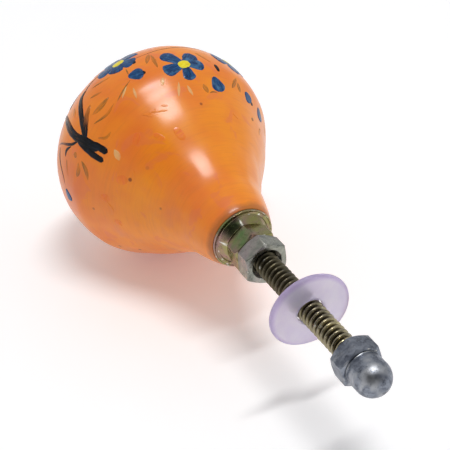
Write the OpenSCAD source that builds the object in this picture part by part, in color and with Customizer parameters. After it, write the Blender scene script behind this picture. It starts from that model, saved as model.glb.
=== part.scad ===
// Hand-painted turned wood knob for a drawer or a cabinet door, with its fixing hardware.
// The axis of the knob is Y: the round head points to -Y and the threaded stud to +Y.
// The origin is on the axis, in the face of the lock nut that rests on the drawer front.

/* [Knob] */
// Radius of the head at its widest
head_r = 18.9; // [16:0.1:22]
// Distance from the drawer front to the widest part of the head
head_back = 36.6; // [35:0.1:42]
// Length of the head in front of its widest part
head_front_len = 14.4; // [10:0.1:18]
// Length of the ellipse that forms the back of the head
head_rear_len = 16.6; // [14:0.1:18]
// Radius of the neck where it meets its rounded foot
neck_r = 7.3; // [6.2:0.05:7.8]
// Length of the rounded foot of the neck
foot_len = 5.8; // [4.5:0.1:6.5]
// Radius of the flat end of the neck
foot_r = 5.35; // [5.2:0.05:5.8]

/* [Stud] */
// Outer diameter of the thread
stud_d = 4; // [3.8:0.1:4.2]
// Length of stud that stands out of the lock nut
stud_out = 30.4; // [29:0.1:30.6]
// Length of stud behind the face of the lock nut
stud_in = 19.6; // [17:0.1:20.5]

/* [Cup washer] */
// Outer diameter of the dished washer
cup_d = 10.6; // [10:0.1:10.7]
// Thickness of the sheet
cup_t = 0.45; // [0.3:0.05:0.6]
// Height of the dish, over the sheet's thickness
cup_rise = 1.25; // [1.1:0.05:1.5]

/* [Nuts] */
// Width across flats of the two plain nuts
nut_af = 7; // [6.6:0.1:7.4]
// Height of each plain nut
nut_h = 3.2; // [2.8:0.1:3.4]
// Width across flats of the acorn nut
acorn_af = 6.6; // [6.2:0.1:7]
// Height of the acorn nut's hexagon
acorn_h = 3.3; // [2.8:0.1:3.6]
// Distance from the drawer front to the acorn nut
acorn_at = 23.8; // [23:0.1:24.5]
// Radius of the acorn nut's cap
cap_r = 2.95; // [2.8:0.05:3]
// Distance from the hexagon to the centre of the cap's round end
cap_wall_len = 2.4; // [2:0.1:2.6]

/* [Plastic washer] */
// Outer diameter
washer_d = 13.2; // [11:0.1:15]
// Thickness
washer_t = 1.4; // [1:0.1:1.6]
// Distance from the drawer front to the washer's centre
washer_at = 12.5; // [8:0.1:16]
// Diameter of its hole
washer_hole_d = 4.35; // [4.3:0.05:4.6]

/* [Hidden] */
$fn = 96;

stud_r = stud_d / 2;
thread_fit = 0.02;
running_fit = 0.05;

base_nut_back = -2 * nut_h;
foot_y = base_nut_back - cup_t - cup_rise;
head_y = -head_back;
neck_y = foot_y - foot_len;

// where the neck's curve leaves the ellipse, as a share of head_rear_len
blend_at = 0.21;
blend_y = head_y + blend_at * head_rear_len;
blend_r = head_r * sqrt(1 - blend_at * blend_at);
blend_slope = -head_r * blend_at / (head_rear_len * sqrt(1 - blend_at * blend_at));
neck_slope = -0.2;
blend_reach = 3.5;
neck_reach = 4.6;
foot_reach = 1.2;

insert_r = 3.5;
insert_len = 13;
insert_flange_r = 3.7;
insert_flange_t = 0.7;
insert_rib = 0.35;
insert_ribs = 4;
bore_end_y = foot_y - insert_len - 0.6;

brim_w = 0.75;
dish_w = 0.9;
cup_hole_r = stud_r + 0.15;

// how far each hexagon is turned about the axis
base_nut_turn = 43;
lock_nut_turn = 35;
acorn_turn = 46;
chamfer_deg = 30;
countersink_r = 2.65;
countersink_depth = 0.8;
stud_chamfer = 0.45;

cap_foot_r = 2.75;
cap_foot_len = 0.5;
cap_wall = 0.5;
cap_seat_gap = 0.03;
washer_round = 0.55;
// the loose washer hangs a little out of square on the thread
washer_tip = [-2.2, 0, -4.7];

// cubic curve between a and d, with its handles at b and c
function cubic(a, b, c, d, t) =
    pow(1 - t, 3) * a + 3 * pow(1 - t, 2) * t * b + 3 * (1 - t) * t * t * c + pow(t, 3) * d;
function curve(a, b, c, d, steps) = [for (i = [1:steps]) cubic(a, b, c, d, i / steps)];

// ellipse from the front tip of the head to the point where the neck's curve starts
function head_front() = [for (a = [0:5:90])
    [head_r * sin(a), head_y - head_front_len * cos(a)]];
function head_rear() = [for (i = [1:8]) let (q = blend_at * i / 8)
    [head_r * sqrt(1 - q * q), head_y + head_rear_len * q]];
function neck_curve() = curve(
    [blend_r, blend_y],
    [blend_r + blend_reach * blend_slope, blend_y + blend_reach],
    [neck_r - neck_reach * neck_slope, neck_y - neck_reach],
    [neck_r, neck_y], 16);
function foot_curve() = curve(
    [neck_r, neck_y],
    [neck_r + foot_reach * neck_slope, neck_y + foot_reach],
    [foot_r + 0.45 * foot_reach, foot_y - 0.35 * foot_reach],
    [foot_r, foot_y], 8);

// a solid drawn about Z is laid along Y
module on_axis() {
    rotate([-90, 0, 0]) children();
}

// hexagon with its corners chamfered at both faces, drawn about Z from 0 to h
module hexagon(af, h, turn) {
    corner_r = af / sqrt(3);
    face_r = af / 2 * 0.97;
    drop = (corner_r - face_r) * tan(chamfer_deg);
    intersection() {
        rotate([0, 0, turn]) cylinder(r = corner_r, h = h, $fn = 6);
        rotate_extrude() polygon([[0, 0], [face_r, 0], [corner_r, drop],
                                  [corner_r, h - drop], [face_r, h], [0, h]]);
    }
}

module countersink(z, out) {
    translate([0, 0, z]) mirror([0, 0, out ? 0 : 1]) translate([0, 0, -countersink_depth])
        cylinder(r1 = stud_r + thread_fit, r2 = countersink_r, h = countersink_depth);
}

module hex_nut(y0, turn, hole_r) {
    on_axis() translate([0, 0, y0]) difference() {
        hexagon(nut_af, nut_h, turn);
        translate([0, 0, -1]) cylinder(r = hole_r, h = nut_h + 2);
        countersink(nut_h, true);
        countersink(0, false);
    }
}

module knob_body() {
    color("darkorange") on_axis() difference() {
        rotate_extrude() polygon(concat(
            head_front(), head_rear(), neck_curve(), foot_curve(), [[0, foot_y]]));
        translate([0, 0, bore_end_y]) cylinder(r = insert_r, h = foot_y - bore_end_y + 1);
    }
}

module threaded_insert() {
    rib_pitch = insert_len / (insert_ribs + 1);
    color("goldenrod") on_axis() difference() {
        union() {
            translate([0, 0, foot_y - insert_len]) cylinder(r = insert_r - insert_rib, h = insert_len);
            for (i = [0:insert_ribs])
                translate([0, 0, foot_y - insert_len + i * rib_pitch])
                    cylinder(r = insert_r, h = rib_pitch * 0.6);
            translate([0, 0, foot_y]) cylinder(r = insert_flange_r, h = insert_flange_t);
        }
        translate([0, 0, -stud_in - 0.4]) cylinder(r = stud_r + thread_fit, h = stud_in);
    }
}

module cup_washer() {
    rim_r = cup_d / 2;
    dish_r = rim_r - brim_w;
    seat_r = dish_r - dish_w;
    color("darkkhaki") on_axis() rotate_extrude() polygon([
        [rim_r, foot_y], [rim_r, foot_y + cup_t], [dish_r, foot_y + cup_t],
        [seat_r, base_nut_back], [cup_hole_r, base_nut_back], [cup_hole_r, base_nut_back - cup_t],
        [seat_r - cup_t / 2, base_nut_back - cup_t], [dish_r - cup_t / 2, foot_y]]);
}

module base_nut() {
    color("darkkhaki") hex_nut(base_nut_back, base_nut_turn, stud_r + thread_fit);
}

module lock_nut() {
    color("darkgray") hex_nut(-nut_h, lock_nut_turn, stud_r + thread_fit);
}

module stud() {
    tip_r = stud_r - stud_chamfer;
    color("dimgray") on_axis() rotate_extrude() polygon([
        [0, -stud_in], [tip_r, -stud_in], [stud_r, stud_chamfer - stud_in],
        [stud_r, stud_out - stud_chamfer], [tip_r, stud_out], [0, stud_out]]);
}

module plastic_washer() {
    flat_r = washer_d / 2 - washer_round;
    edge_y = washer_t / 2 - washer_round;
    color("plum") translate([0, washer_at, 0]) rotate(washer_tip) on_axis() difference() {
        rotate_extrude() union() {
            translate([0, -washer_t / 2]) square([flat_r, washer_t]);
            translate([0, -edge_y]) square([flat_r + washer_round, 2 * edge_y]);
            translate([flat_r, -edge_y]) circle(r = washer_round);
            translate([flat_r, edge_y]) circle(r = washer_round);
        }
        translate([0, 0, -washer_t]) cylinder(d = washer_hole_d, h = 2 * washer_t);
    }
}

module acorn_nut() {
    color("slategray") on_axis() translate([0, 0, acorn_at]) difference() {
        hexagon(acorn_af, acorn_h, acorn_turn);
        translate([0, 0, -1]) cylinder(r = stud_r + running_fit, h = acorn_h + 2);
        countersink(0, false);
    }
}

// pressed cap: a short waist, a straight wall and a round end, hollow over the stud's tip
module acorn_cap() {
    y0 = acorn_at + acorn_h + cap_seat_gap;
    dome_y = acorn_at + acorn_h + cap_wall_len;
    inner_r = cap_r - cap_wall;
    color("slategray") on_axis() difference() {
        union() {
            translate([0, 0, y0]) cylinder(r1 = cap_foot_r, r2 = cap_r, h = cap_foot_len);
            translate([0, 0, y0 + cap_foot_len]) cylinder(r = cap_r, h = dome_y - y0 - cap_foot_len);
            translate([0, 0, dome_y]) sphere(r = cap_r);
        }
        translate([0, 0, y0 - cap_r]) cylinder(r = cap_foot_r - cap_wall, h = cap_r + cap_foot_len);
        translate([0, 0, y0 + cap_foot_len / 2]) cylinder(r = cap_foot_r - cap_wall, h = dome_y - y0);
        translate([0, 0, dome_y]) sphere(r = inner_r);
    }
}

knob_body();
threaded_insert();
cup_washer();
base_nut();
stud();
lock_nut();
plastic_washer();
acorn_nut();
acorn_cap();
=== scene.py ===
import bisect
import math
import random

import bmesh
import bpy
from mathutils import Matrix, Vector, noise


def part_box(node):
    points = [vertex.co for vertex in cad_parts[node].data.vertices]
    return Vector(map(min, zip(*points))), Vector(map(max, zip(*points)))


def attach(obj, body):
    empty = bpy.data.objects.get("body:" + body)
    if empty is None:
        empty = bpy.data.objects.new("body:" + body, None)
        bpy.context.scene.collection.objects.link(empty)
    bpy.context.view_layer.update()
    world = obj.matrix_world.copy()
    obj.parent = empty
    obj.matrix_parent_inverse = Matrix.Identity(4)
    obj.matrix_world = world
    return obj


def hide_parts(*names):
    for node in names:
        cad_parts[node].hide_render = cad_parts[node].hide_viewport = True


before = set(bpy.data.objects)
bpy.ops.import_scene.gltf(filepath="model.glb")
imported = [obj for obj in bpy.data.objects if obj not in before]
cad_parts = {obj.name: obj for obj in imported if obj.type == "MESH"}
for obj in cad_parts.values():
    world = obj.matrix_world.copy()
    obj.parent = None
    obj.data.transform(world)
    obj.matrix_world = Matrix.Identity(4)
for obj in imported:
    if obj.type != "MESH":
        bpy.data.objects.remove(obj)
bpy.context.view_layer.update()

# Lengths are in millimetres until a mesh is made, and MM turns them into metres.
# The knob's axis is Y. A point on a turned surface is (radius, y) at an angle about the axis,
# counted from +Z towards +X.
MM = 0.001
STUD_R = 2.0
PITCH = 1.0


def limits(node):
    """Lowest and highest corner of a CAD node, in millimetres."""
    lo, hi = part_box(node)
    return Vector(lo) / MM, Vector(hi) / MM


def at(r, y, angle):
    """Point of a turned surface, at an angle in radians about the axis."""
    return Vector((r * math.sin(angle), y, r * math.cos(angle)))


def cubic(a, b, c, d, t):
    """Cubic curve between a and d, with its handles at b and c."""
    return (1 - t) ** 3 * a + 3 * (1 - t) ** 2 * t * b + 3 * (1 - t) * t * t * c + t ** 3 * d


def smooth(x):
    """Soft step from 0 to 1 as x goes from 0 to 1."""
    x = min(max(x, 0.0), 1.0)
    return x * x * (3 - 2 * x)


# ---------------------------------------------------------------- meshes

def make_object(name, bm, material, sharp_deg=32):
    """Turns a mesh in millimetres into an object in metres, shaded smooth with sharp creases."""
    bmesh.ops.recalc_face_normals(bm, faces=bm.faces)
    bmesh.ops.scale(bm, vec=(MM, MM, MM), verts=bm.verts)
    mesh = bpy.data.meshes.new(name)
    bm.to_mesh(mesh)
    bm.free()
    mesh.shade_smooth()
    mesh.set_sharp_from_angle(angle=math.radians(sharp_deg))
    obj = bpy.data.objects.new(name, mesh)
    bpy.context.scene.collection.objects.link(obj)
    mesh.materials.append(material)
    return obj


def add_bevel(obj, width, segments=3, angle_deg=24):
    mod = obj.modifiers.new("worn edges", "BEVEL")
    mod.width = width * MM
    mod.segments = segments
    mod.limit_method = "ANGLE"
    mod.angle_limit = math.radians(angle_deg)


def lathe(bm, outline, segments, shape=at, closed=True):
    """Revolves (radius, y) points about Y. A point of radius 0 becomes a pole.
    shape(r, y, angle) says where each point goes. closed joins the last ring to the first."""
    rings = []
    for r, y in outline:
        if r < 1e-9:
            rings.append([bm.verts.new((0, y, 0))])
            continue
        ring = []
        for i in range(segments):
            angle = 2 * math.pi * i / segments
            ring.append(bm.verts.new(shape(r, y, angle)))
        rings.append(ring)
    pairs = list(zip(rings, rings[1:]))
    if closed:
        pairs.append((rings[-1], rings[0]))
    for low, high in pairs:
        for i in range(segments):
            j = (i + 1) % segments
            if len(low) == 1 and len(high) == 1:
                break
            if len(low) == 1:
                bm.faces.new((low[0], high[i], high[j]))
            elif len(high) == 1:
                bm.faces.new((low[i], low[j], high[0]))
            else:
                bm.faces.new((low[i], low[j], high[j], high[i]))


def rounded(points, radius, steps=4):
    """Rounds each inner corner of an open outline of (radius, y) points."""
    out = [points[0]]
    for a, b, c in zip(points, points[1:], points[2:]):
        a, b, c = Vector(a), Vector(b), Vector(c)
        before, after = a - b, c - b
        cut = min(radius, before.length * 0.45, after.length * 0.45)
        p, q = b + before.normalized() * cut, b + after.normalized() * cut
        for i in range(steps + 1):
            t = i / steps
            out.append(tuple((1 - t) ** 2 * p + 2 * (1 - t) * t * b + t * t * q))
    out.append(points[-1])
    return out


# ---------------------------------------------------------------- knob's surface

# The profile is the CAD solid's own: half an ellipse in front of the widest part, the start of
# another behind it, a curve down to the neck, and a curve round the neck's foot.
knob_lo, knob_hi = limits("knob_body")
HEAD_R = (knob_hi.x - knob_lo.x) / 2
HEAD_Y = -36.6
HEAD_CENTRE = Vector((0, HEAD_Y, 0))
FRONT_LEN = HEAD_Y - knob_lo.y
REAR_LEN = 16.6
BLEND_AT = 0.21
BLEND_Y = HEAD_Y + BLEND_AT * REAR_LEN
BLEND_R = HEAD_R * math.sqrt(1 - BLEND_AT ** 2)
BLEND_SLOPE = -HEAD_R * BLEND_AT / (REAR_LEN * math.sqrt(1 - BLEND_AT ** 2))
BLEND_REACH = 3.5
FOOT_Y = knob_hi.y
FOOT_R = 5.35
FOOT_REACH = 1.2
NECK_Y = FOOT_Y - 5.8
NECK_R = 7.3
NECK_SLOPE = -0.2
NECK_REACH = 4.6


def knob_profile():
    """(radius, y) from the front pole of the head to the edge of the foot."""
    points = []
    for i in range(65):
        a = math.pi / 2 * i / 64
        points.append((HEAD_R * math.sin(a), HEAD_Y - FRONT_LEN * math.cos(a)))
    for i in range(1, 21):
        q = BLEND_AT * i / 20
        points.append((HEAD_R * math.sqrt(1 - q * q), HEAD_Y + REAR_LEN * q))
    for i in range(1, 41):
        t = i / 40
        points.append((
            cubic(BLEND_R, BLEND_R + BLEND_REACH * BLEND_SLOPE,
                  NECK_R - NECK_REACH * NECK_SLOPE, NECK_R, t),
            cubic(BLEND_Y, BLEND_Y + BLEND_REACH, NECK_Y - NECK_REACH, NECK_Y, t)))
    for i in range(1, 13):
        t = i / 12
        points.append((
            cubic(NECK_R, NECK_R + FOOT_REACH * NECK_SLOPE, FOOT_R + 0.45 * FOOT_REACH, FOOT_R, t),
            cubic(NECK_Y, NECK_Y + FOOT_REACH, FOOT_Y - 0.35 * FOOT_REACH, FOOT_Y, t)))
    return points


PROFILE = knob_profile()
# how steeply each point of the profile is seen from the middle of the head
SLANTS = [math.atan2(y - HEAD_Y, r) for r, y in PROFILE]


def radius_at(y):
    """Radius of the true profile at a place on the axis."""
    if y <= PROFILE[0][1]:
        return 0.0
    low, high = 0, len(PROFILE) - 1
    while high - low > 1:
        mid = (low + high) // 2
        if PROFILE[mid][1] <= y:
            low = mid
        else:
            high = mid
    (r0, y0), (r1, y1) = PROFILE[low], PROFILE[high]
    t = min(max((y - y0) / (y1 - y0), 0.0), 1.0)
    return r0 + (r1 - r0) * t


def wobble(y, angle):
    """How far the hand-turned and hand-painted surface is from true, in millimetres."""
    where = at(1.0, y * 0.09, angle)
    slow = noise.noise(where * 1.1 + Vector((3.1, 0.4, 7.7)))
    fine = noise.noise(where * 4.5 + Vector((9.2, 1.3, 2.6)))
    # the head leans to one side, more the farther it is from the foot
    lean_mm, lean_over, lean_deg = 0.2, 28, 105
    lean = lean_mm * math.cos(angle + math.radians(lean_deg)) * (FOOT_Y - y) / lean_over
    # a shallow ripple along the cone between the head and the neck
    ripple_mm, ripple_len, ripple_y = 0.13, 11, -22.3
    cone_start, cone_end = -34, -18
    ripple = -ripple_mm * math.sin(2 * math.pi * (y - ripple_y) / ripple_len)
    ripple *= smooth((y - cone_start) / 5) * smooth((cone_end - y) / 4)
    # all of it fades out at the foot, where the cup washer sits
    fade = smooth((FOOT_Y - 0.5 - y) / 5)
    return fade * (0.12 * slow + 0.04 * fine + lean + ripple)


def skin(y, angle):
    """Point of the knob's uneven surface. Near the front pole it is true, so that it closes."""
    r = radius_at(y)
    grow = min(r / 6.0, 1.0)
    return at(r + grow * wobble(y, angle), y, angle)


def on_head(direction, lift=0.0):
    """Point of the knob's skin in a direction from the middle of the head."""
    d = direction.normalized()
    across = math.hypot(d.x, d.z)
    k = min(max(bisect.bisect(SLANTS, math.atan2(d.y, across)), 1), len(PROFILE) - 1)
    (r0, y0), (r1, y1) = PROFILE[k - 1], PROFILE[k]
    t = ((y0 - HEAD_Y) * across - r0 * d.y) / ((r1 - r0) * d.y - (y1 - y0) * across)
    return skin(y0 + t * (y1 - y0), math.atan2(d.x, d.z)) + d * lift


def heading(angle_deg, lift_deg):
    """Direction from the middle of the head: about the axis from +Z, and from the widest circle
    towards the neck."""
    a, b = math.radians(angle_deg), math.radians(lift_deg)
    return Vector((math.sin(a) * math.cos(b), math.sin(b), math.cos(a) * math.cos(b)))


# ---------------------------------------------------------------- painted strokes

def catmull(points, t):
    """Smooth path through points, t from 0 to 1."""
    n = len(points) - 1
    if n == 1:
        return points[0].lerp(points[1], t)
    x = min(t * n, n - 1e-6)
    k = int(x)
    u = x - k
    p1, p2 = points[k], points[k + 1]
    p0 = points[k - 1] if k else p1 * 2 - p2
    p3 = points[k + 2] if k + 2 <= n else p2 * 2 - p1
    return 0.5 * (2 * p1 + (p2 - p0) * u + (2 * p0 - 5 * p1 + 4 * p2 - p3) * u * u
                  + (3 * p1 - p0 - 3 * p2 + p3) * u ** 3)


def swell(kind, t):
    """Width of a stroke along its length, as a share of its full width. A kind that isn't named
    here is round at both ends."""
    ends = math.sqrt(max(0.0, 1 - abs(2 * t - 1) ** 2.2))
    if kind == "petal":
        return ends * (0.62 + 0.5 * smooth(t * 1.25))
    if kind == "taper":
        return ends * (1.0 - 0.75 * t)
    if kind == "leaf":
        return ends * (0.45 + 0.55 * math.sin(math.pi * t) ** 0.8)
    if kind == "blunt":
        return min(1.0, (max(0.0, min(t, 1 - t)) / 0.09)) ** 0.5
    return ends


class Paint:
    """Collects the strokes of one colour in one mesh. Each stroke is a closed, low bead of paint
    that follows the knob's skin. Its points carry where they lie along and across the brush."""

    # length of stroke between two rows of points, and the number of faces across it
    STEP = 0.22
    ACROSS = 10
    # depth below the knob's skin of a stroke's edges and of its underside
    EDGE_DIP = 0.035
    BURIED = 0.09

    def __init__(self, seed):
        self.bm = bmesh.new()
        self.brush = self.bm.verts.layers.float_vector.new("brush")
        self.load = self.bm.verts.layers.float.new("load")
        self.rng = random.Random(seed)

    def stroke(self, points, width, kind="round", height=0.07, start=1.0, end=1.0, steps=None):
        """points are (angle, lift) directions in degrees. width and height are in millimetres.
        start and end say how much paint the brush holds there, 0 to 1."""
        path = [on_head(heading(*p)) for p in points]
        length = sum((b - a).length for a, b in zip(path, path[1:]))
        steps = steps or max(10, int(length / self.STEP))
        across = self.ACROSS
        seed = self.rng.uniform(0, 50)
        rows = []
        for i in range(steps + 1):
            t = i / steps
            centre = on_head(catmull(path, t) - HEAD_CENTRE)
            ahead = catmull(path, min(t + 0.01, 1.0)) - catmull(path, max(t - 0.01, 0.0))
            normal = (centre - HEAD_CENTRE).normalized()
            side = ahead.cross(normal).normalized()
            half = max(0.5 * width * swell(kind, t), 0.012)
            row = []
            for j in range(across + 1):
                x = 2 * j / across - 1
                rag = 1 + 0.10 * noise.noise(Vector((t * length * 1.3 + seed, (x > 0) * 9.0, seed)))
                where = centre + side * (x * half * rag)
                bead = math.sqrt(max(0.0, 1 - x ** 4)) * (1 - 0.25 * (1 - abs(x)))
                edge = min(1.0, half / (0.18 * width + 0.02))
                up = height * bead * edge - self.EDGE_DIP * (1 - bead)
                up += 0.012 * noise.noise(Vector((x * 7, t * length * 0.9, seed))) * edge * bead
                out = where - HEAD_CENTRE
                top = self.bm.verts.new(on_head(out, up))
                low = self.bm.verts.new(on_head(out, -self.BURIED))
                held = start + (end - start) * t
                for v in (top, low):
                    v[self.brush] = (t * length, x * half, seed)
                    v[self.load] = held
                row.append((top, low))
            rows.append(row)
        for a, b in zip(rows, rows[1:]):
            for j in range(across):
                self.bm.faces.new((a[j][0], a[j + 1][0], b[j + 1][0], b[j][0]))
                self.bm.faces.new((a[j + 1][1], a[j][1], b[j][1], b[j + 1][1]))
            for j in (0, across):
                self.bm.faces.new((a[j][0], b[j][0], b[j][1], a[j][1]))
        for row in (rows[0], rows[-1]):
            for j in range(across):
                self.bm.faces.new((row[j][0], row[j + 1][0], row[j + 1][1], row[j][1]))

    def object(self, name, material):
        obj = make_object(name, self.bm, material, sharp_deg=60)
        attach(obj, "knob")
        return obj


def offset(centre, along_deg, reach):
    """(angle, lift) of a point a few degrees from centre. along_deg 0 is towards a growing
    angle about the axis, and 90 is towards the neck."""
    a, b = centre
    turn = math.radians(along_deg)
    return (a + reach * math.cos(turn) / math.cos(math.radians(b)), b + reach * math.sin(turn))


def flower(blue, yellow, centre, petals):
    """petals are (direction, reach, width): directions and reaches in degrees on the head,
    widths in millimetres."""
    for along, reach, width in petals:
        path = [offset(centre, along, reach * share) for share in (-0.10, 0.6, 1.0)]
        blue.stroke(path, width, "petal", height=0.10, steps=18)
    heart_deg, heart_width = 3.6, 1.98
    yellow.stroke([offset(centre, 12, -heart_deg), offset(centre, 12, heart_deg)],
                  heart_width, "round", height=0.17, steps=16)


# ---------------------------------------------------------------- materials

def tone(red, green, blue):
    """Linear colour of an sRGB colour given in 0 to 255."""
    def lin(c):
        c /= 255
        return c / 12.92 if c <= 0.04045 else ((c + 0.055) / 1.055) ** 2.4
    return (lin(red), lin(green), lin(blue), 1.0)


class Shade:
    """Short calls that build the nodes of one material."""

    def __init__(self, name):
        self.material = bpy.data.materials.new(name)
        self.material.use_nodes = True
        self.tree = self.material.node_tree
        self.shader = self.tree.nodes["Principled BSDF"]
        self.object = self.add("ShaderNodeTexCoord").outputs["Object"]

    def add(self, kind, **settings):
        node = self.tree.nodes.new(kind)
        for name, value in settings.items():
            setattr(node, name, value)
        return node

    def put(self, socket, value):
        if isinstance(value, bpy.types.NodeSocket):
            self.tree.links.new(value, socket)
        else:
            socket.default_value = value

    def noise(self, scale, detail=3.0, rough=0.55, vector=None, distortion=0.0):
        node = self.add("ShaderNodeTexNoise")
        self.put(node.inputs["Vector"], vector or self.object)
        node.inputs["Scale"].default_value = scale
        node.inputs["Detail"].default_value = detail
        node.inputs["Roughness"].default_value = rough
        node.inputs["Distortion"].default_value = distortion
        return node.outputs["Fac"]

    def cells(self, scale, vector=None):
        node = self.add("ShaderNodeTexVoronoi")
        self.put(node.inputs["Vector"], vector or self.object)
        node.inputs["Scale"].default_value = scale
        return node.outputs["Distance"], node.outputs["Color"]

    def stretch(self, scale, vector=None):
        node = self.add("ShaderNodeMapping")
        self.put(node.inputs["Vector"], vector or self.object)
        node.inputs["Scale"].default_value = scale
        return node.outputs["Vector"]

    def band(self, value, low, high, out_low=0.0, out_high=1.0):
        node = self.add("ShaderNodeMapRange")
        self.put(node.inputs["Value"], value)
        for name, number in (("From Min", low), ("From Max", high),
                             ("To Min", out_low), ("To Max", out_high)):
            node.inputs[name].default_value = number
        return node.outputs["Result"]

    def math(self, operation, a, b=0.0):
        node = self.add("ShaderNodeMath", operation=operation)
        self.put(node.inputs[0], a)
        self.put(node.inputs[1], b)
        return node.outputs["Value"]

    def mix(self, fac, a, b, blend="MIX"):
        node = self.add("ShaderNodeMix", data_type="RGBA", blend_type=blend)
        self.put(node.inputs["Factor"], fac)
        self.put(node.inputs[6], a)
        self.put(node.inputs[7], b)
        return node.outputs[2]

    def bump(self, height, distance, strength=1.0, under=None):
        node = self.add("ShaderNodeBump")
        self.put(node.inputs["Height"], height)
        node.inputs["Distance"].default_value = distance * MM
        node.inputs["Strength"].default_value = strength
        if under is not None:
            self.put(node.inputs["Normal"], under)
        return node.outputs["Normal"]

    def attribute(self, name):
        return self.add("ShaderNodeAttribute", attribute_name=name)

    def axis_part(self, which, vector=None):
        node = self.add("ShaderNodeSeparateXYZ")
        self.put(node.inputs["Vector"], vector or self.object)
        return node.outputs[which]

    def across_axis(self):
        """Distance from the knob's axis, in metres."""
        x, z = self.axis_part("X"), self.axis_part("Z")
        return self.math("SQRT", self.math("ADD", self.math("MULTIPLY", x, x),
                                           self.math("MULTIPLY", z, z)))

    def edges(self, low, high):
        """1 on convex edges and 0 on flats, from the mesh itself."""
        node = self.add("ShaderNodeNewGeometry")
        return self.band(node.outputs["Pointiness"], low, high)

    def finish(self, colour, rough, normal=None, **fixed):
        self.put(self.shader.inputs["Base Color"], colour)
        self.put(self.shader.inputs["Roughness"], rough)
        if normal is not None:
            self.put(self.shader.inputs["Normal"], normal)
        for name, value in fixed.items():
            self.shader.inputs[name.replace("_", " ")].default_value = value
        return self.material


ORANGE = tone(248, 146, 28)
ORANGE_RED = tone(238, 122, 40)
ORANGE_DEEP = tone(216, 116, 42)
PINK_UNDERSIDE_SHADE = tone(222, 128, 84)


def orange_ground(s):
    """Colour of the orange enamel under everything, with its blotches, and pinker towards the
    bottom as a painted shade.
    """
    clouds = s.noise(75, 3.0, 0.6)
    colour = s.mix(s.band(clouds, 0.42, 0.66), ORANGE, ORANGE_RED)
    # painted shade: blotches of a pinker tone towards the bottom of the head stand in for the shade
    # under it
    worn = s.math("MULTIPLY", s.band(s.noise(120, 4.0, 0.65, s.stretch((1, 1.3, 1))), 0.52, 0.70),
                  s.band(s.axis_part("Z"), 0.010, -0.008))
    colour = s.mix(s.math("MULTIPLY", worn, 0.55), colour, PINK_UNDERSIDE_SHADE)
    streaks = s.noise(1.0, 3.0, 0.6, s.stretch((230, 2900, 230)))
    colour = s.mix(s.band(streaks, 0.48, 0.74, 0.0, 0.26), colour, ORANGE_DEEP)
    return colour, streaks


def painted_wood():
    """Orange enamel on turned wood, with redder patches, dark specks and a darker brown foot next
    to the cup washer.
    """
    s = Shade("orange_enamel")
    colour, streaks = orange_ground(s)
    patches = s.band(s.noise(190, 3.0, 0.55, distortion=0.8), 0.58, 0.63, 0.0, 0.45)
    colour = s.mix(patches, colour, tone(232, 116, 66))
    near, chance = s.cells(420)
    picked = s.band(s.axis_part("X", chance), 0.90, 0.92)
    specks = s.math("MULTIPLY", s.band(near, 0.17, 0.10), picked)
    colour = s.mix(s.math("MULTIPLY", specks, 0.8), colour, tone(120, 52, 20))
    # darker brown at the foot, in a band next to the cup washer
    foot = s.band(s.math("ADD", s.axis_part("Y"), s.math("MULTIPLY", s.noise(500), 0.0012)),
                  -0.0088, -0.0080)
    colour = s.mix(s.math("MULTIPLY", foot, 0.6), colour, tone(150, 92, 48))
    orange_peel = s.noise(1500, 2.0, 0.5)
    lumps = s.noise(260, 2.0, 0.45)
    normal = s.bump(lumps, 0.07, 0.55)
    normal = s.bump(streaks, 0.006, 0.6, normal)
    normal = s.bump(orange_peel, 0.006, 0.5, normal)
    normal = s.bump(specks, 0.03, 0.8, normal)
    rough = s.band(s.noise(160, 4.0, 0.6), 0.3, 0.7, 0.30, 0.46)
    return s.finish(colour, rough, normal, Coat_Weight=0.42, Coat_Roughness=0.20,
                    Specular_IOR_Level=0.18)


def stroke_paint(name, thick, thin, painted_light_tone, see_ground, coat=0.22, rough=(0.24, 0.42)):
    """Enamel laid on with a brush: streaks run along the stroke, and where little paint is left
    the orange ground shows. A third tone, laid in patches, is painted light and shade."""
    s = Shade(name)
    brush = s.attribute("brush").outputs["Vector"]
    load = s.attribute("load").outputs["Fac"]
    along = s.stretch((0.55, 5.5, 1.0), brush)
    hairs = s.noise(1.0, 4.0, 0.65, along)
    pools_and_painted_light = s.noise(1.0, 2.0, 0.5, s.stretch((0.7, 0.8, 1.0), brush))
    colour = s.mix(s.band(hairs, 0.40, 0.58), thick, thin)
    # painted light and shade: the third tone, in patches, is a lighter sheen on the blue and black
    # strokes and a darker shade on the yellow and red ones
    colour = s.mix(s.band(pools_and_painted_light, 0.50, 0.72, 0.0, 0.75), colour, painted_light_tone)
    ground = orange_ground(s)[0]
    dry = s.math("SUBTRACT", s.math("ADD", s.math("SUBTRACT", 1.0, load),
                                    s.math("MULTIPLY", hairs, 0.9)), 0.62)
    shows = s.band(dry, 0.0, 0.42, 0.0, see_ground)
    colour = s.mix(shows, colour, ground)
    normal = s.bump(hairs, 0.03, 0.7)
    normal = s.bump(s.noise(900, 2.0), 0.008, 0.5, normal)
    return s.finish(colour, s.band(pools_and_painted_light, 0.3, 0.7, *rough), normal,
                    Coat_Weight=coat, Coat_Roughness=0.14, Specular_IOR_Level=0.15)


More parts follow.
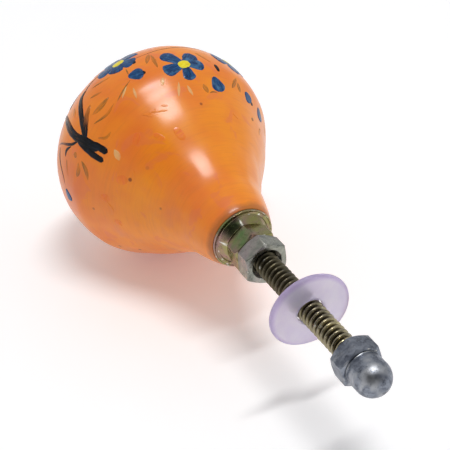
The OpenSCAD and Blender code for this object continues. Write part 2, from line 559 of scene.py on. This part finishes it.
def metal(name, base, second, third, rough, shade_and_grime_colour, scratch=0.5, patch=260, shade_and_grime_amount=0.5,
          pits=0.010, thread=False):
    """Plated steel: slow drifts of the plating's colour, fine scratches, painted shade in the
    hollows with grime in blotches, and bright edges that are a painted highlight where the plating
    is worn by rubbing."""
    s = Shade(name)
    slow = s.noise(patch, 3.0, 0.6, distortion=0.8)
    drift = s.noise(patch * 0.55, 2.0, 0.5, s.stretch((1, 1.6, 0.8)))
    colour = s.mix(s.band(slow, 0.40, 0.62), base, second)
    colour = s.mix(s.band(drift, 0.50, 0.66), colour, third)
    grime = s.noise(1100, 4.0, 0.7)
    # painted shade in concave edges and creases, with grime in random blotches
    shade_and_grime = s.math("MAXIMUM", s.edges(0.49, 0.42), s.band(grime, 0.52, 0.68, 0.0, 0.7))
    if thread:
        # painted shade: the thread's root is darkened, and so is the end by the nuts
        radius = s.across_axis()
        root = s.band(radius, 1.80 * MM, 1.50 * MM)
        inner_end = s.band(s.axis_part("Y"), 0.017, 0.005, 0.0, 0.80)
        shade_and_grime = s.math("MAXIMUM", root, inner_end)
    colour = s.mix(s.math("MULTIPLY", shade_and_grime, shade_and_grime_amount), colour, shade_and_grime_colour)
    # painted highlight on convex edges, with plating worn by rubbing in patches
    rubbed_and_highlit_edges = s.math("MULTIPLY", s.edges(0.54, 0.62), s.band(s.noise(900), 0.35, 0.6))
    colour = s.mix(rubbed_and_highlit_edges, colour, tone(226, 224, 214))
    lines = s.noise(1.0, 3.0, 0.6, s.stretch((700, 5200, 900)))
    rough_out = s.math("ADD", s.band(s.noise(700, 4.0, 0.65), 0.3, 0.7, rough[0], rough[1]),
                       s.math("MULTIPLY", shade_and_grime, 0.18))
    normal = s.bump(lines, 0.004, scratch)
    normal = s.bump(s.noise(1300, 4.0, 0.65), pits, 0.6, normal)
    return s.finish(colour, rough_out, normal, Metallic=1.0)


def lilac_plastic():
    """Cloudy, see-through plastic that is a deeper lilac at its thick rim."""
    s = Shade("lilac_plastic")
    cloud = s.noise(320, 3.0, 0.6, distortion=0.5)
    face = s.mix(s.band(cloud, 0.35, 0.65), tone(246, 242, 254), tone(236, 228, 250))
    rim = s.band(s.across_axis(), 5.8 * MM, 6.35 * MM)
    colour = s.mix(rim, face, tone(212, 194, 234))
    colour = s.mix(s.band(s.noise(2100, 3.0), 0.60, 0.75, 0.0, 0.35), colour, tone(250, 246, 254))
    normal = s.bump(s.noise(420, 3.0, 0.55), 0.05, 0.5)
    normal = s.bump(s.noise(3000, 2.0), 0.004, 0.6, normal)
    rough = s.band(s.noise(500, 4.0, 0.6), 0.3, 0.7, 0.28, 0.48)
    return s.finish(colour, rough, normal, Transmission_Weight=0.60, IOR=1.38,
                    Coat_Weight=0.15, Coat_Roughness=0.3)


ORANGE_ENAMEL = painted_wood()
BLUE = stroke_paint("blue_enamel", tone(6, 38, 80), tone(24, 80, 132), tone(82, 132, 168), 0.40)
YELLOW = stroke_paint("yellow_enamel", tone(236, 214, 24), tone(246, 230, 60),
                      tone(222, 190, 20), 0.15)
BLACK = stroke_paint("black_enamel", tone(4, 4, 6), tone(7, 9, 14), tone(24, 38, 56), 0.75)
OLIVE = stroke_paint("olive_wash", tone(150, 100, 40), tone(186, 112, 36), tone(128, 100, 62), 0.8)
CREAM = stroke_paint("cream_wash", tone(222, 178, 110), tone(236, 196, 136),
                     tone(206, 184, 132), 0.75)
BLUSH = stroke_paint("red_wash", tone(238, 108, 58), tone(242, 122, 62), tone(230, 96, 54), 0.9)
YELLOW_ZINC = metal("yellow_zinc", tone(150, 146, 92), tone(158, 126, 118), tone(112, 138, 88),
                    (0.13, 0.27), tone(40, 34, 18), patch=300)
CLEAR_ZINC = metal("clear_zinc", tone(160, 160, 148), tone(126, 128, 120), tone(172, 160, 158),
                   (0.20, 0.36), tone(46, 44, 40), patch=420)
STUD_STEEL = metal("stud_steel", tone(160, 150, 120), tone(138, 130, 108), tone(184, 172, 134),
                   (0.18, 0.32), tone(16, 13, 9), patch=300, shade_and_grime_amount=0.88, thread=True)
GREY_ZINC = metal("grey_zinc", tone(142, 147, 157), tone(104, 109, 120), tone(172, 174, 178),
                  (0.28, 0.48), tone(40, 43, 52), patch=620, shade_and_grime_amount=0.8, pits=0.03)
BRASS = metal("brass", tone(200, 168, 90), tone(184, 150, 78), tone(212, 182, 110),
              (0.25, 0.40), tone(80, 60, 24))
LILAC = lilac_plastic()


# ---------------------------------------------------------------- knob

def knob():
    """The turned wood: its skin, the flat end of the foot, and the bore for the insert, whose end
    is a drill's cone."""
    bm = bmesh.new()
    bore_r, bore_len, cone_len, mouth = 3.5, 13.6, 1.2, 0.25
    bore_end = FOOT_Y - bore_len
    outline = PROFILE + [
        (FOOT_R * 0.97, FOOT_Y), (bore_r + mouth, FOOT_Y), (bore_r, FOOT_Y - mouth),
        (bore_r, bore_end), (0.0, bore_end - cone_len)]

    def shape(r, y, angle):
        """The bore, the foot's end and the front pole stay true, and the rest is uneven."""
        on_skin = y < FOOT_Y - 0.5 and r > bore_r + 0.5 or y < bore_end - 2
        return skin(y, angle) if on_skin and r > 0.3 else at(r, y, angle)

    lathe(bm, outline, 240, shape, closed=False)
    obj = make_object("knob_painted_wood", bm, ORANGE_ENAMEL, sharp_deg=50)
    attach(obj, "knob")
    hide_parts("knob_body")


def flowers(blue, yellow):
    """The flowers of the wreath, and two more on the front of the head."""
    flower(blue, yellow, (-9, 10.5), [
        (222, 12, 2.7), (305, 13.5, 2.9), (176, 11.5, 2.5), (92, 9.5, 2.4), (10, 12.5, 2.6)])
    flower(blue, yellow, (19, -10.5), [
        (350, 13, 3.3), (55, 9, 3.0), (128, 10, 3.2), (205, 12.5, 3.4), (280, 12, 3.4)])
    flower(blue, yellow, (-45.5, -3.5), [
        (20, 13.5, 3.4), (88, 11, 3.2), (165, 12, 3.2), (232, 12, 3.4), (305, 12, 3.4)])
    flower(blue, yellow, (-100, -2), [
        (15, 13, 3.4), (85, 11, 3.2), (160, 12, 3.2), (230, 12, 3.4), (300, 12, 3.4)])
    flower(blue, yellow, (-150, 6), [
        (40, 12, 3.2), (110, 12, 3.4), (185, 12, 3.1), (255, 11, 3.3), (325, 13, 3.4)])
    flower(blue, yellow, (10, -52), [
        (30, 12, 3.4), (100, 12, 3.3), (170, 12, 3.3), (240, 12, 3.4), (315, 12, 3.4)])
    flower(blue, yellow, (-105, -50), [
        (10, 12, 3.4), (80, 12, 3.3), (155, 12, 3.3), (225, 12, 3.4), (295, 12, 3.4)])


def buds(blue, black):
    """Buds are fat blue strokes, and some have a small black stroke beside them."""
    for a, b, width in (
            ((20.5, 5), (12.5, 7.5), 2.7), ((-24.5, 17.5), (-28, 26.5), 2.9),
            ((-49.5, 18.5), (-55, 23), 2.3), ((-65, 18.5), (-69, 26.5), 2.3),
            ((-66, -18), (-74, -22), 2.6), ((-120, 14), (-127, 18), 2.6),
            ((40, -34), (47, -38), 2.6), ((93, 3.5), (100, 6), 1.8),
            ((-170, -20), (-178, -24), 2.6), ((150, -16), (157, -20), 2.4)):
        blue.stroke([a, b], width, "petal", height=0.11, steps=18)
    for points, width in (
            ([(14, 8.5), (12, 7)], 0.9), ([(14.5, -3.5), (12, -2)], 0.9),
            ([(-28.5, 9), (-29.5, 14)], 0.9), ([(-55.5, 22), (-57, 23.5)], 0.8)):
        black.stroke(points, width, "round", height=0.08)


def branches(black):
    """The trunk with its cut end near the neck, and the branches that spread from it."""
    black.stroke([(60, -17), (60.5, -8), (61.5, 2), (61, 10), (60, 17)], 1.6, "round",
                 height=0.12, start=0.7)
    black.stroke([(61.5, 6), (60, 13), (58.5, 19), (58, 25)], 1.35, "blunt", height=0.11)
    black.stroke([(60.5, 6), (60.5, 12), (59.5, 20)], 2.1, "round", height=0.10)
    black.stroke([(62, 7), (63, 13), (64, 19), (64, 25)], 1.15, "blunt", height=0.11)
    black.stroke([(63.5, 14), (65, 20)], 0.9, "round", height=0.08)
    black.stroke([(60.5, 12.5), (55, 6), (51, 0), (46, -9), (41, -12)], 1.25, "round",
                 height=0.10, end=0.75)
    black.stroke([(44, -10), (37, -14), (26, -15)], 0.55, "taper", height=0.05, end=0.6)
    black.stroke([(60.5, 12), (54.5, 8), (50, 4.5), (44, 1.5)], 1.2, "round",
                 height=0.09, end=0.45)
    black.stroke([(62.5, 7.5), (67, 3), (71.5, -6), (75, -10)], 0.75, "taper",
                 height=0.07, end=0.5)
    black.stroke([(67.5, 4), (71.5, 1), (75, 1.5)], 0.6, "leaf", height=0.06)
    black.stroke([(74, -7), (80, -4), (86, 1), (92, 3)], 0.5, "taper", height=0.05, end=0.7)
    black.stroke([(60, -16), (66, -26), (78, -34), (96, -38)], 1.1, "taper", height=0.08, end=0.5)
    black.stroke([(57, -18), (44, -28), (26, -38), (12, -44)], 1.2, "taper", height=0.08, end=0.6)
    black.stroke([(58, -22), (58, -40), (40, -58), (-40, -72)], 1.0, "taper", height=0.08, end=0.5)
    black.stroke([(-60, -34), (-76, -42), (-96, -46)], 0.8, "taper", height=0.07, end=0.6)
    black.stroke([(-128, -6), (-140, 2), (-150, 8)], 0.8, "taper", height=0.07, end=0.6)


def leaves(olive):
    """Leaves and twigs in thin brown paint, dry at one end."""
    for points, width, start, end in (
            ([(42, -2), (35, 1.5)], 0.55, 0.8, 0.5), ([(38, -7), (27, -3)], 0.5, 0.8, 0.5),
            ([(47, 7), (41, 8), (34.5, 7.5)], 1.15, 0.5, 0.8),
            ([(50, 11), (42, 13.5), (34.5, 12.5)], 0.5, 0.95, 0.4),
            ([(54.5, 16.5), (51.5, 20), (47, 20.5)], 0.55, 0.7, 0.5),
            ([(72.5, 12), (77, 13), (81, 12.5)], 0.9, 0.5, 0.75),
            ([(70.5, 13.5), (74.5, 17), (80, 19)], 0.85, 0.9, 0.55),
            ([(70.5, 7.5), (69, 10)], 1.2, 0.7, 0.55), ([(52, -10), (55, -3)], 0.75, 0.75, 0.4),
            ([(75.5, 3), (84.5, 6)], 0.6, 0.7, 0.35),
            ([(8.5, 3), (3, -5.5)], 0.8, 0.75, 0.55), ([(5, 8.5), (3, -3.5)], 0.8, 0.75, 0.6),
            ([(-20.5, 0), (-23.5, 4), (-27, 8)], 0.7, 0.7, 0.5),
            ([(-37.5, 21.5), (-42.5, 13.5)], 0.9, 0.7, 0.75),
            ([(-44.5, 21.5), (-43, 16)], 0.85, 0.75, 0.7),
            ([(-16, 22.5), (-17.5, 28.5)], 1.1, 0.6, 0.7),
            ([(-67.5, 33), (-66.5, 40)], 0.8, 0.6, 0.5),
            ([(-77, 21), (-83, 24)], 0.9, 0.6, 0.5), ([(-56, 33.5), (-56, 36)], 0.8, 0.9, 0.9),
            ([(-110, 12), (-106, 20)], 0.9, 0.7, 0.6), ([(-134, 16), (-138, 24)], 0.9, 0.7, 0.6),
            ([(28, -24), (34, -20)], 0.8, 0.7, 0.5), ([(-20, -36), (-14, -30)], 0.8, 0.7, 0.5),
            ([(-60, -22), (-52, -26)], 0.8, 0.7, 0.5), ([(96, -30), (106, -26)], 0.8, 0.7, 0.5),
            ([(104, -36), (114, -34)], 0.8, 0.7, 0.5)):
        olive.stroke(points, width, "leaf", height=0.045, start=start, end=end)
    for points, width in (
            ([(19.5, 4), (18.5, -1)], 0.3), ([(20.5, 7.5), (27, 10.5), (33, 13)], 0.35),
            ([(-18.5, 28.5), (-21, 27.5), (-24.5, 27.5)], 0.35)):
        olive.stroke(points, width, "leaf", height=0.04, start=0.95, end=0.8)


def front_line(black):
    """A thin wavy line round the front of the wreath."""
    ring = [(angle, -8 + 2.4 * math.sin(math.radians(2 * angle + 40)))
            for angle in range(-170, 40, 15)]
    black.stroke(ring, 0.28, "leaf", height=0.03, start=0.75, end=0.75)


def touches(cream):
    """Cream and gold touches between the flowers and the neck."""
    for points, width, start, end in (
            ([(8.5, 19), (5.5, 15)], 0.75, 0.6, 0.75), ([(2.5, 28), (-1.5, 19.5)], 0.55, 0.7, 0.6),
            ([(-6.5, 29.5), (-5.5, 22.5)], 0.6, 0.6, 0.7), ([(22, 12.5), (24, 18)], 0.5, 0.6, 0.6),
            ([(24, 9.5), (30, 13.5)], 0.35, 0.8, 0.7),
            ([(54, 27.5), (56, 31), (58, 33.5)], 1.25, 0.75, 0.55)):
        cream.stroke(points, width, "leaf", height=0.05, start=start, end=end)


def blushes(blush):
    """Reddish blushes where the lacquer pooled."""
    for points, width in (
            ([(26, 42.5), (30, 43.5)], 2.6), ([(11.5, 47), (18, 47.5)], 2.9),
            ([(36, 33), (44, 36)], 1.6), ([(84, 30), (90, 31)], 2.2), ([(66, 38), (72, 41)], 2.4),
            ([(102, 38), (108, 37)], 1.8)):
        blush.stroke(points, width, "round", height=0.03, start=0.58, end=0.50)


def runs(lacquer):
    """Runs in the orange lacquer itself."""
    for points, width, height in (
            ([(27.5, 26.5), (24.5, 28.5), (21.5, 28)], 0.55, 0.09),
            ([(22.5, 28.5), (18, 31), (13, 33)], 0.4, 0.08),
            ([(25.5, 29), (22.5, 31)], 0.5, 0.08), ([(20.5, 30), (19, 28)], 0.35, 0.07),
            ([(15, 28.5), (11.5, 30.5)], 0.4, 0.07),
            ([(89.5, 31.5), (94.5, 35), (99, 34)], 0.6, 0.08),
            ([(-34, 39.5), (-39, 42)], 0.5, 0.06), ([(58, 43), (63.5, 45)], 0.5, 0.06)):
        lacquer.stroke(points, width, "round", height=height)


def decoration():
    blue, yellow, black = Paint(11), Paint(12), Paint(13)
    olive, cream, lacquer, blush = Paint(14), Paint(15), Paint(16), Paint(17)
    flowers(blue, yellow)
    buds(blue, black)
    branches(black)
    leaves(olive)
    front_line(black)
    touches(cream)
    blushes(blush)
    runs(lacquer)
    blue.object("flowers_blue", BLUE)
    yellow.object("flower_hearts_yellow", YELLOW)
    black.object("branches_black", BLACK)
    olive.object("leaves_olive", OLIVE)
    cream.object("touches_cream", CREAM)
    lacquer.object("lacquer_runs", ORANGE_ENAMEL)
    blush.object("lacquer_blushes", BLUSH)


# ---------------------------------------------------------------- hardware

def thread_radius(phase):
    """Radius of the rolled thread at a share of one pitch: a flat crest, and flanks that run
    softly into the root. crest and flank are shares of half a pitch."""
    depth, crest, flank = 0.60, 0.20, 0.66
    x = abs((phase % 1.0) - 0.5) * 2
    return STUD_R - depth * smooth((x - crest) / flank)


def stud():
    """The threaded rod: a grid wound as a helix, with small nicks in it, cut flat at both ends."""
    lo, hi = limits("stud")
    bm = bmesh.new()
    around, per_pitch = 72, 12
    # the helix starts and ends outside the rod, and the cuts take the rest off
    first = math.floor(lo.y) - 2
    count = int((hi.y - first + 2) * per_pitch)
    chamfer, nick_depth = 0.45, 0.05
    tip_r = STUD_R - chamfer
    rings = []
    for k in range(count):
        ring = []
        for i in range(around):
            angle = 2 * math.pi * i / around
            y = first + k / per_pitch + PITCH * i / around
            r = thread_radius(k / per_pitch)
            nick = noise.noise(Vector((math.sin(angle) * 3, y * 1.7, math.cos(angle) * 3)))
            r -= nick_depth * smooth((nick - 0.25) * 4)
            r = min(r, tip_r + max(0.0, hi.y - y), tip_r + max(0.0, y - lo.y))
            ring.append(bm.verts.new(at(r, y, angle)))
        rings.append(ring)
    # one turn further on, a ring meets the ring that is one pitch ahead
    for k in range(count - 1):
        for i in range(around - 1):
            bm.faces.new((rings[k][i], rings[k][i + 1], rings[k + 1][i + 1], rings[k + 1][i]))
        if k + per_pitch + 1 < count:
            bm.faces.new((rings[k][-1], rings[k + per_pitch][0],
                          rings[k + per_pitch + 1][0], rings[k + 1][-1]))
    for y, up in ((lo.y, -1), (hi.y, 1)):
        cut = bmesh.ops.bisect_plane(
            bm, geom=bm.verts[:] + bm.edges[:] + bm.faces[:], dist=1e-6,
            plane_co=(0, y, 0), plane_no=(0, up, 0), clear_outer=True)
        rim = [e for e in cut["geom_cut"] if isinstance(e, bmesh.types.BMEdge)]
        bmesh.ops.holes_fill(bm, edges=rim, sides=0)
    obj = make_object("stud_threaded", bm, STUD_STEEL, sharp_deg=40)
    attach(obj, "knob")
    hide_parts("stud")


def hexagon(name, node, turn_deg, across_flats, mouths, hole_r, material, body):
    """A nut: six flats whose corners are turned off at both faces, so that each flat ends in a
    curved edge. mouths gives the (radius, depth) to which its hole is widened at either face.
    turn_deg is the CAD's, counted from +X; from +Z it is a quarter turn more, which on a hexagon
    is the same as 30 degrees."""
    lo, hi = limits(node)
    bm = bmesh.new()
    flat_r = across_flats / 2
    face_r = flat_r * 0.965
    slope = math.tan(math.radians(30))
    per_side = 16
    segments = 6 * per_side
    turn = math.radians(turn_deg + 30)
    (low_r, low_depth), (high_r, high_depth) = mouths
    rows = []

    def row(radius, level):
        ring = []
        for i in range(segments):
            local = 2 * math.pi * i / segments
            ring.append(bm.verts.new(at(radius(local), level(local), local + turn)))
        rows.append(ring)

    def corner(local):
        """Radius of the hexagon's side at an angle counted from one of its corners."""
        return flat_r / math.cos((local % (math.pi / 3)) - math.pi / 6)

    def drop(local):
        return (corner(local) - face_r) * slope

    row(lambda a: hole_r, lambda a: lo.y + low_depth)
    row(lambda a: low_r, lambda a: lo.y)
    row(lambda a: face_r, lambda a: lo.y)
    row(corner, lambda a: lo.y + drop(a))
    row(corner, lambda a: hi.y - drop(a))
    row(lambda a: face_r, lambda a: hi.y)
    row(lambda a: high_r, lambda a: hi.y)
    row(lambda a: hole_r, lambda a: hi.y - high_depth)
    for k, low in enumerate(rows):
        high = rows[(k + 1) % len(rows)]
        for i in range(segments):
            j = (i + 1) % segments
            bm.faces.new((low[i], low[j], high[j], high[i]))
    obj = make_object(name, bm, material, sharp_deg=24)
    add_bevel(obj, 0.09)
    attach(obj, body)
    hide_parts(node)


def cup_washer():
    """Pressed steel dish: a flat brim with a rolled edge, and a cone up to the seat of the nut."""
    lo, hi = limits("cup_washer")
    rim = (hi.x - lo.x) / 2
    hole_r = STUD_R + 0.15
    sheet, brim, cone = 0.45, 0.75, 0.9
    dish = rim - brim
    seat = dish - cone
    outline = rounded([
        (hole_r, hi.y - sheet), (hole_r, hi.y), (seat, hi.y), (dish, lo.y + sheet * 0.8),
        (rim - 0.32, lo.y + sheet * 0.72), (rim - 0.2, lo.y + sheet), (rim, lo.y + sheet),
        (rim, lo.y), (dish - sheet / 2, lo.y), (seat - sheet / 2, hi.y - sheet),
        (hole_r, hi.y - sheet)], 0.14)
    bm = bmesh.new()
    lathe(bm, outline[:-1], 144)
    bmesh.ops.remove_doubles(bm, verts=bm.verts, dist=1e-5)
    obj = make_object("cup_washer_pressed", bm, YELLOW_ZINC, sharp_deg=40)
    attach(obj, "knob")
    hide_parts("cup_washer")


def plastic_washer():
    """Moulded washer with a soft round edge, a faint step on its faces and a nick at its gate."""
    washer_r, thick, hole_r = 6.6, 1.4, 2.175
    half = thick / 2
    gate_deg, gate_depth = 205, 0.10
    # how far the washer hangs out of square, about X and about Z
    tip_x, tip_z = math.radians(-2.2), math.radians(-4.7)
    face = [(hole_r, -half + 0.16), (hole_r + 0.14, -half), (3.3, -half + 0.02),
            (3.6, -half + 0.07), (5.3, -half + 0.05), (5.75, -half),
            (washer_r - 0.42, -half + 0.08), (washer_r - 0.12, -half + 0.3),
            (washer_r, -half + 0.56)]
    outline = face + [(r, -y) for r, y in reversed(face)]

    def shape(r, y, angle):
        edge = smooth((r - 5.6) / 1.0)
        wave = noise.noise(Vector((math.sin(angle) * 1.4, r * 0.35, math.cos(angle) * 1.4)))
        gate = math.exp(-((math.degrees(angle) - gate_deg) / 5) ** 2)
        out = r + edge * (0.07 * wave - gate_depth * gate)
        return at(out, y + 0.04 * wave * smooth(r / 4), angle)

    bm = bmesh.new()
    lathe(bm, outline, 160, shape)
    lo, hi = limits("plastic_washer")
    middle = (lo + hi) / 2
    tip = Matrix.Rotation(tip_z, 4, "Z") @ Matrix.Rotation(tip_x, 4, "X")
    bmesh.ops.transform(bm, matrix=Matrix.Translation((0, middle.y, 0)) @ tip, verts=bm.verts)
    obj = make_object("washer_plastic", bm, LILAC, sharp_deg=80)
    smoother = obj.modifiers.new("soft edge", "SUBSURF")
    smoother.levels = smoother.render_levels = 1
    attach(obj, "back_washer")
    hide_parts("plastic_washer")


def acorn_cap():
    """Pressed cap: it springs from a narrow waist in the hexagon's face, swells and ends round."""
    lo, hi = limits("acorn_cap")
    cap_r = (hi.x - lo.x) / 2
    dome_y = hi.y - cap_r
    wall = 0.5
    mouth_r = cap_r - 0.62
    outer = [(mouth_r, lo.y), (cap_r - 0.02, lo.y), (cap_r - 0.07, lo.y + 0.12),
             (cap_r - 0.09, lo.y + 0.3), (cap_r - 0.04, lo.y + 0.6), (cap_r, lo.y + 1.0),
             (cap_r, dome_y - 0.4)]
    for i in range(12):
        a = math.pi / 2 * i / 12
        outer.append((cap_r * math.cos(a), dome_y + cap_r * math.sin(a)))
    outer.append((0.0, hi.y))
    inner_r = cap_r - wall
    inner = [(0.0, dome_y + inner_r)]
    for i in range(1, 11):
        a = math.pi / 2 * i / 10
        inner.append((inner_r * math.sin(a), dome_y + inner_r * math.cos(a)))
    inner += [(cap_r - 0.7, lo.y + 0.3), (mouth_r, lo.y)]

    def shape(r, y, angle):
        dent = noise.noise(at(1.6, y * 0.5, angle))
        return at(r - 0.03 * max(0.0, dent) if r > inner_r else r, y, angle)

    bm = bmesh.new()
    lathe(bm, outer, 96, shape, closed=False)
    lathe(bm, inner, 96, closed=False)
    bmesh.ops.remove_doubles(bm, verts=bm.verts, dist=0.004)
    obj = make_object("acorn_dome", bm, GREY_ZINC, sharp_deg=50)
    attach(obj, "nut_cap")
    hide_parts("acorn_cap")


def hardware():
    # the insert stays the CAD's own node, which is hidden in the neck
    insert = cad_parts["threaded_insert"]
    insert.data.materials.clear()
    insert.data.materials.append(BRASS)
    cup_washer()
    hexagon("base_nut_hex", "base_nut", 43, 7.0, [(2.6, 0.7), (2.6, 0.7)], 2.02,
            YELLOW_ZINC, "knob")
    hexagon("lock_nut_hex", "lock_nut", 35, 7.0, [(2.6, 0.7), (2.65, 0.8)], 2.02,
            CLEAR_ZINC, "knob")
    stud()
    plastic_washer()
    hexagon("acorn_hex", "acorn_nut", 46, 6.6, [(2.6, 0.7), (2.3, 0.2)], 2.05,
            GREY_ZINC, "nut")
    acorn_cap()


# ---------------------------------------------------------------- studio

def view_axes(azimuth_deg, elevation_deg):
    """Right, up and backward directions of a camera that looks at the knob from a direction."""
    az, el = math.radians(azimuth_deg), math.radians(elevation_deg)
    right = Vector((math.cos(az), math.sin(az), 0))
    back = Vector((math.sin(az) * math.cos(el), -math.cos(az) * math.cos(el), math.sin(el)))
    return right, back.cross(right), back


def camera():
    right, up, back = view_axes(151.35, 36.32)
    place = Vector((89.02, 149.2, 135.26)) * MM
    data = bpy.data.cameras.new("camera")
    data.lens = 113.1
    data.clip_start = 0.01
    data.dof.use_dof = False
    cam = bpy.data.objects.new("camera", data)
    cam.matrix_world = Matrix.Translation(place) @ Matrix((right, up, back)).transposed().to_4x4()
    bpy.context.scene.collection.objects.link(cam)
    bpy.context.scene.camera = cam


def room():
    """A pale room with a dark side, behind the camera, which the plated parts mirror."""
    scene = bpy.context.scene
    scene.view_settings.view_transform = "Standard"
    world = bpy.data.worlds.new("studio")
    scene.world = world
    world.use_nodes = True
    tree = world.node_tree
    background = tree.nodes["Background"]
    dark_side = (0.39, 0.71, 0.59)
    direction = tree.nodes.new("ShaderNodeTexCoord").outputs["Generated"]
    facing = tree.nodes.new("ShaderNodeVectorMath")
    facing.operation = "DOT_PRODUCT"
    tree.links.new(direction, facing.inputs[0])
    facing.inputs[1].default_value = dark_side
    fall = tree.nodes.new("ShaderNodeMapRange")
    tree.links.new(facing.outputs["Value"], fall.inputs["Value"])
    fall.interpolation_type = "SMOOTHSTEP"
    for name, number in (("From Min", 0.62), ("From Max", 0.92),
                         ("To Min", 0.60), ("To Max", 0.03)):
        fall.inputs[name].default_value = number
    background.inputs["Color"].default_value = (0.96, 0.97, 1.0, 1.0)
    tree.links.new(fall.outputs["Result"], background.inputs["Strength"])


def floor():
    """A wide white floor just under the head, which gives off a little light."""
    gap, half_width = 0.35, 1500
    bm = bmesh.new()
    bmesh.ops.create_grid(bm, x_segments=8, y_segments=8, size=half_width)
    bmesh.ops.translate(bm, verts=bm.verts, vec=(0, 0, knob_lo.z - gap))
    white = Shade("pale_floor")
    grain = white.noise(35, 3.0)
    white.shader.inputs["Emission Color"].default_value = (1.0, 1.0, 1.0, 1.0)
    material = white.finish(white.mix(grain, tone(250, 250, 250), tone(254, 254, 254)), 0.6,
                            Emission_Strength=0.16)
    make_object("floor", bm, material)


def softbox(name, towards, distance, size, power, aim=(0, -0.02, 0)):
    """An oval lamp seen from the knob in the direction towards. distance, size and aim are in
    metres."""
    data = bpy.data.lights.new(name, "AREA")
    data.shape = "ELLIPSE"
    data.size, data.size_y = size
    data.energy = power
    lamp = bpy.data.objects.new(name, data)
    lamp.location = Vector(aim) + Vector(towards).normalized() * distance
    lamp.rotation_euler = Vector(towards).to_track_quat("Z", "Y").to_euler()
    bpy.context.scene.collection.objects.link(lamp)


def studio():
    room()
    floor()
    softbox("key", (-0.02, 0.145, 0.98), 0.9, (0.44, 0.09), 3.9)
    softbox("fill", (0.2, 0.9, 0.3), 0.8, (0.3, 0.3), 0.15)


camera()
studio()
knob()
decoration()
hardware()
